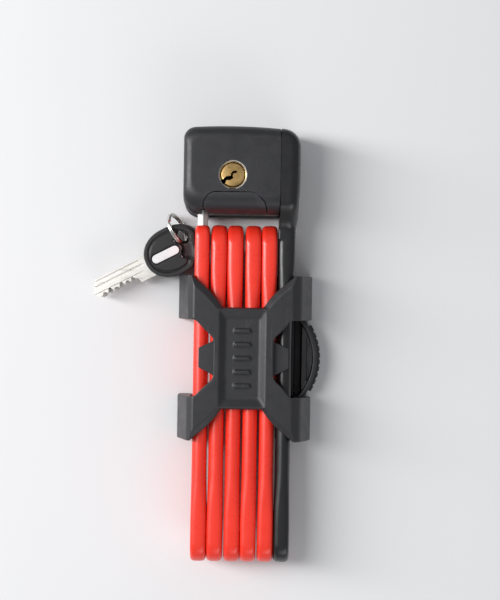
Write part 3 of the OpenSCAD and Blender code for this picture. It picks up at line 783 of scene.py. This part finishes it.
def window(side, inner, reach):
    points = [(inner, -9.2, 5), (inner, 9.2, 5), (inner + 4.3, 13.0, 14), (21.5, WINDOW_Y, 3),
              (reach, WINDOW_Y, 0), (reach, -WINDOW_Y, 0), (21.5, -WINDOW_Y, 3), (inner + 4.3, -13.0, 14)]
    return held([(x * side, y) for x, y in filleted(points)])


def gap_bevel(end, top):
    """Wedge that bevels the plate along the arms, down towards the gap between them."""
    low, high = arm_gap(end), arm_gap(end, 3.0)
    low, high = [[(x, y, z) for x, y in outline] for outline, z in ((low, top - 1.5), (high, top + 0.06))]
    return loft("bevel", [low, high])


def make_holder():
    top = PLATE_TOP
    right = holder_high[0] - HX + 0.6
    section = filleted([
        (-29.7, 0, 0.8), (-29.7, 8.5, 6), (-24.9, top - 3.1, 4), (-22.4, top, 1.2), (22.9, top, 1.6),
        (26.6, top - 2.9, 5), (right, 13.5, 9), (right, 0, 0.8), (15.5, 0, 0), (15.5, PLATE_LOW, 0),
        (-WALL_IN, PLATE_LOW, 1.0), (-WALL_IN, 0, 0.8)])
    shell = prism([(x + HX, z) for x, z in section], "y", holder_low[1], holder_high[1])
    lip = 2.5
    cut(shell, block((HX + 15, holder_low[1] - 1, lip + 3), (HX + WALL_IN, holder_high[1] + 1, PLATE_LOW)))
    cut(shell, block((HX + 15, holder_low[1] - 1, -1), (HX + WALL_IN, holder_high[1] + 1, lip)))
    for end in (-1, 1):
        cut(shell, prism(arm_gap(end), "z", PLATE_LOW - 2, top + 5), gap_bevel(end, top))
    cut(shell, prism(window(-1, 13.0, 40), "z", -5, top + 5))
    cut(shell, prism(window(1, 14.0, 40), "z", PLATE_LOW - 3, top + 5))
    cut(shell, block((HX, HY - WINDOW_Y, lip + 3), (HX + 40, HY + WINDOW_Y, PLATE_LOW - 2)))
    cut(shell, block((HX + 24, HY - 19, -1), (HX + 40, HY + 19, 12)))
    cut(shell, panel_recess(top))
    mould(shell, 0.36, 4, 0.6)
    for end in (-1, 1):
        hole = circle(HY + end * FRAME_BOLT_Y, FRAME_BOLT_Z, FRAME_BOLT_R)
        cut(shell, prism(hole, "x", HX + WALL_IN - 2, holder_high[0] + 4))
    piece(shell, "holder_skin", "holder", ["holder_shell"], holder_plastic, 60)


def panel_recess(top):
    """A shallow tray in the front plate, with sloping sides and raised bars across its floor."""
    floor = top - 1.8
    rings = []
    for (hx, hy), z in (((7.5, 17.9), floor), ((7.9, 18.5), floor + 0.12), ((10.4, 22.2), top - 0.05),
                        ((11.1, 23.2), top + 1.5)):
        corners = [(-hx, -hy, 1), (hx, -hy, 1), (hx, hy, 1), (-hx, hy, 1)]
        rings.append([(x + HX, y + HY, z) for x, y in filleted(corners, 4)])
    tray = loft("tray", rings)
    for k in range(-2, 3):
        rib = held(filleted([(-3.6, k * 6.2 - 0.9, 0.6), (3.6, k * 6.2 - 0.9, 0.6),
                             (3.6, k * 6.2 + 0.9, 0.6), (-3.6, k * 6.2 + 0.9, 0.6)]))
        cut(tray, prism(rib, "z", floor - 1, floor + 0.8))
    return tray


make_holder()


def make_retainer():
    low, high = span("retainer_plate")
    tab_top = low[2] + 1.0
    tabs = filleted([
        (-19.8, -4.3, 1), (-19.8, 4.6, 1), (-13.4, 7.6, 2), (-11, 15, 2), (11, 15, 2), (14.4, 7.6, 2),
        (20.9, 4.6, 1), (20.9, -4.3, 1), (14.4, -7.6, 2), (11, -15, 2), (-11, -15, 2), (-13.4, -7.6, 2),
    ])
    plate = prism(held(tabs), "z", low[2] + 0.02, tab_top)
    join(plate, block((HX - 9, HY - 14, tab_top - 0.3), (HX + 9, HY + 14, high[2])))
    bevelled(plate, 0.25, 2, 50)
    piece(plate, "retainer_skin", "holder", ["retainer_plate"], holder_plastic, 40)


make_retainer()


def make_saddle():
    low, high = span("strap_saddle")
    pad_low, pad_high = span("frame_pad")
    x_in = low[0] + 3.3
    wall = low[0]
    bow = high[0] - x_in
    half = (high[1] - low[1]) / 2
    y_mid = (low[1] + high[1]) / 2
    arc_r = (half * half + bow * bow) / (2 * bow)
    reach = math.asin(half / arc_r)

    def bowed(r, count=24, share=1.0):
        return [(high[0] - arc_r + r * math.cos(a), y_mid + r * math.sin(a))
                for a in [reach * share * (2 * k / count - 1) for k in range(count + 1)]]

    ear = prism(bowed(arc_r) + bowed(arc_r - 2.2)[::-1], "z", low[2], high[2])
    join(ear, block((x_in, y_mid - half + 0.3, low[2]), (x_in + 2.4, y_mid + half - 0.3, high[2] - 1.5)))
    join(ear, block((wall + 0.15, y_mid - half + 0.1, low[2]), (x_in + 1, y_mid + half - 0.1, low[2] + 2)))
    for s in (-1, 1):
        y = y_mid + s * 18.2
        join(ear, block((wall + 0.15, y - 0.9, low[2]), (x_in + 2, y + 0.9, high[2] - 0.8)))
    mould(ear, 0.35, 3, 0.7)
    piece(ear, "saddle_skin", "holder", ["strap_saddle"], holder_plastic, 50)
    thick = pad_high[0] - high[0]
    share = 14 / half
    pad_outline = bowed(arc_r + thick, 24, share) + bowed(arc_r + 0.03, 24, share)[::-1]
    pad = prism(pad_outline, "z", pad_low[2], pad_high[2])
    for k in range(-4, 5):
        a = reach * share * k / 5
        x, y = high[0] - arc_r + (arc_r + thick) * math.cos(a), y_mid + (arc_r + thick) * math.sin(a)
        cut(pad, prism(circle(x + 0.25, y, 0.7, 16), "z", pad_low[2] - 1, pad_high[2] + 1))
    bevelled(pad, 0.2, 2, 50)
    piece(pad, "pad_skin", "holder", ["frame_pad"], pad_rubber, 40)


make_saddle()


# ---------------------------------------------------------------- keys

KEY_TILT = math.radians(27.5)
HEAD_T = 4.4
BLADE_T = 2.2
RING_U, RING_V = 6.8, 8.2    # the ring's centre in key 1's own frame
RING_LEAN = math.radians(22)
RING_R = 7.2                 # middle of its wire
SLOT_U = 6.8                 # middle of the slot that the ring runs through
SLOT_WIDTH = {1: 5.7, 2: 4.8}
INSET_U = -3.4
KEY_2_TURN = math.radians(2)
KEY_2_SHIFT = (1.3, 1.5)


def key_matrix(n):
    """From a key's own frame, +X away from its blade, to its place."""
    ring = centre("key_ring")
    axis = Matrix.Rotation(KEY_TILT, 4, "Z")
    origin = Vector((ring[0], ring[1], 0)) - axis @ Vector((RING_U, RING_V, 0))
    place = Matrix.Translation(origin) @ axis
    if n == 2:
        shift = Matrix.Translation((SLOT_U + KEY_2_SHIFT[0], KEY_2_SHIFT[1], 0))
        turn = Matrix.Rotation(KEY_2_TURN, 4, "Z")
        place = place @ shift @ turn @ Matrix.Translation((-SLOT_U, -1, 0))
    return place


def at_key(n, outline):
    place = key_matrix(n)
    return [tuple((place @ Vector((x, y, 0)))[:2]) for x, y in outline]


def head_outline(n, inset=0.0):
    """Oval, flattened where it lies against the outer bar."""
    limit = span(f"key_{n}_head")[1][0] - 0.02 - inset
    long_r, wide_r = 13.4 - inset, 11.2 - inset
    points = []
    for k in range(96):
        a = 2 * math.pi * k / 96
        points.append((math.copysign(long_r * abs(math.cos(a)) ** 0.94, math.cos(a)),
                       math.copysign(wide_r * abs(math.sin(a)) ** 0.94, math.sin(a))))
    soft = 0.5
    return [(-soft * math.log(math.exp(-(x - limit) / soft) + 1.0) + limit, y) for x, y in at_key(n, points)]


def ring_slot(width, bend, spread):
    """A slot that follows an arc of radius bend, spread degrees to each side of the key's middle."""
    middle = SLOT_U - bend
    arc = [math.radians(spread) * (2 * k / 20 - 1) for k in range(21)]
    outer = [((bend + width / 2) * math.cos(a) + middle, (bend + width / 2) * math.sin(a)) for a in arc]
    inner = [((bend - width / 2) * math.cos(a) + middle, (bend - width / 2) * math.sin(a)) for a in arc]
    return outer + inner[::-1]


def oval(cx, half, r):
    """Two half circles of radius r, half to each side of cx, and the straight lines between them."""
    return [(cx + (half if math.cos(a) >= 0 else -half) + r * math.cos(a), r * math.sin(a))
            for a in [2 * math.pi * k / 40 + 0.001 for k in range(40)]]


def make_key(n):
    z0 = span(f"key_{n}_head")[0][2]
    top = z0 + HEAD_T
    head = prism(head_outline(n), "z", z0, top)
    for face, away in ((top, 1), (z0, -1)):
        low, high = sorted((face - away * 0.5, face + away * 2))
        groove = prism(head_outline(n, 1.9), "z", low, high)
        cut(groove, prism(head_outline(n, 2.8), "z", low - 1, high + 1))
        cut(head, groove)
    cut(head, prism(at_key(n, ring_slot(SLOT_WIDTH[n], 9.0, 42)), "z", z0 - 1, top + 1))
    cut(head, prism(at_key(n, oval(INSET_U, 4.7, 2.5)), "z", top - 0.8, top + 1))
    mould(head, 0.22, 3, 0.5)
    piece(head, f"key_{n}_head_skin", f"key_{n}", [f"key_{n}_head"], key_plastic, 60)

    inset = prism(at_key(n, oval(INSET_U, 4.7, 2.0)), "z", top - 0.9, top - 0.15)
    bevelled(inset, 0.25, 3, 50)
    piece(inset, f"key_{n}_inset_skin", f"key_{n}", [f"key_{n}_inset"], inset_silver, 50)
    make_blade(n)


def make_blade(n):
    z0 = span(f"key_{n}_blade")[0][2]
    top = z0 + BLADE_T
    tip, half, low_edge, shoulder = -41.0, 4.2, -3.8, -6.4
    outline = [(3, shoulder), (3, half), (tip + 3.4, half), (tip, -1.6), (tip + 1.7, low_edge)]
    x = tip + 3.4
    for depth in (0.9, 1.7, 0.7, 1.9, 1.1, 1.5):
        bottom = low_edge + depth
        outline += [(x, low_edge), (x + 0.8, bottom), (x + 1.7, bottom), (x + 2.5, low_edge)]
        x += 2.9
    outline += [(tip + 21.2, low_edge), (tip + 22.2, shoulder)]
    blade = prism(outline, "z", z0, top)
    for low_v, high_v, end_u, face in ((2.3, 3.5, -15, 1), (-0.1, 1.3, -14.2, 1), (-2.4, -1.9, -15.5, 1),
                                       (-0.8, 0.6, -14, -1), (-2.9, -2.0, -16, -1)):
        middle = (low_v + high_v) / 2
        groove = [(tip - 2, low_v), (end_u - 2.2, low_v), (end_u, middle + 0.3), (end_u - 1.0, high_v),
                  (tip - 2, high_v)]
        a, b = sorted(((top if face > 0 else z0) - face * 0.75, (top if face > 0 else z0) + face * 2))
        cut(blade, prism(groove, "z", a, b))
    bevelled(blade, 0.12, 2, 40)
    blade.data.transform(key_matrix(n))
    piece(blade, f"key_{n}_blade_skin", f"key_{n}", [f"key_{n}_blade"], key_nickel, 30)


make_key(1)
make_key(2)


def make_ring():
    """A split ring: flat wire wound twice, with its two ends on opposite faces."""
    place = (Matrix.Translation(centre("key_ring")) @ Matrix.Rotation(KEY_TILT, 4, "Z")
             @ Matrix.Rotation(-RING_LEAN, 4, "Y"))
    rings = []
    turns = 1.94
    steps = 180
    section = filleted([(-0.75, -0.4, 0.3), (0.75, -0.4, 0.3), (0.75, 0.4, 0.3), (-0.75, 0.4, 0.3)], 4)
    for i in range(steps + 1):
        t = i / steps
        a = 2 * math.pi * turns * t + 1.2
        drift = -0.48 + 0.96 * smoothstep((t - 0.42) / 0.16)
        out = Vector((0, math.cos(a), math.sin(a)))
        rings.append([tuple(place @ (Vector((drift + along, 0, 0)) + out * (RING_R + across)))
                      for across, along in section])
    wire = loft("wire", rings)
    piece(wire, "ring_skin", "key_ring", ["key_ring"], ring_steel, 40)


make_ring()


# ---------------------------------------------------------------- floor, light and camera

FLOOR_HALF = 9               # in metres, as is the rest of this section
FLOOR_Z = -0.0004


def make_stage():
    corners = [(x * FLOOR_HALF, y * FLOOR_HALF, FLOOR_Z) for x, y in ((-1, -1), (1, -1), (1, 1), (-1, 1))]
    floor = mesh_object("floor", corners, [(0, 1, 2, 3)])
    n = Nodes("floor_paint")
    tone = n.ramp(n.noise(3, 2), 0.3, 0.7)
    base = n.mix(tone, (0.80, 0.80, 0.81), (0.83, 0.83, 0.84))
    rough = n.ramp(n.noise(9, 2), 0.3, 0.7, 0.7, 0.8)
    floor.data.materials.append(n.finish(base, rough, n.bump(n.noise(500, 2), 0.02, 0.0001)))


def area_light(name, at, target, size, power, colour=(1, 1, 1)):
    data = bpy.data.lights.new(name, "AREA")
    data.shape = "RECTANGLE"
    data.size, data.size_y = size
    data.energy = power
    data.color = colour
    obj = bpy.data.objects.new(name, data)
    obj.location = at
    obj.rotation_euler = (Vector(target) - Vector(at)).to_track_quat("-Z", "Y").to_euler()
    bpy.context.collection.objects.link(obj)


def make_light():
    world = bpy.data.worlds.new("studio")
    world.use_nodes = True
    world.node_tree.nodes["Background"].inputs["Color"].default_value = (0.95, 0.97, 1.0, 1)
    world.node_tree.nodes["Background"].inputs["Strength"].default_value = 0.33
    bpy.context.scene.world = world
    bpy.context.scene.view_settings.view_transform = "Standard"
    area_light("key_light", (-0.85, 0.2, 0.85), (0, 0, 0), (0.3, 1.3), 16)
    area_light("fill_light", (0.5, -1.1, 0.8), (0, 0, 0), (0.9, 0.5), 3)


def make_camera():
    data = bpy.data.cameras.new("camera")
    data.lens = 100
    data.clip_start = 0.01
    obj = bpy.data.objects.new("camera", data)
    view_height = 0.273
    distance = view_height * data.lens / data.sensor_width
    obj.location = (0.0195, 0.0208, distance + 0.02)
    obj.rotation_euler = (0, 0, math.radians(0.9))
    bpy.context.collection.objects.link(obj)
    bpy.context.scene.camera = obj


make_stage()
make_light()
make_camera()
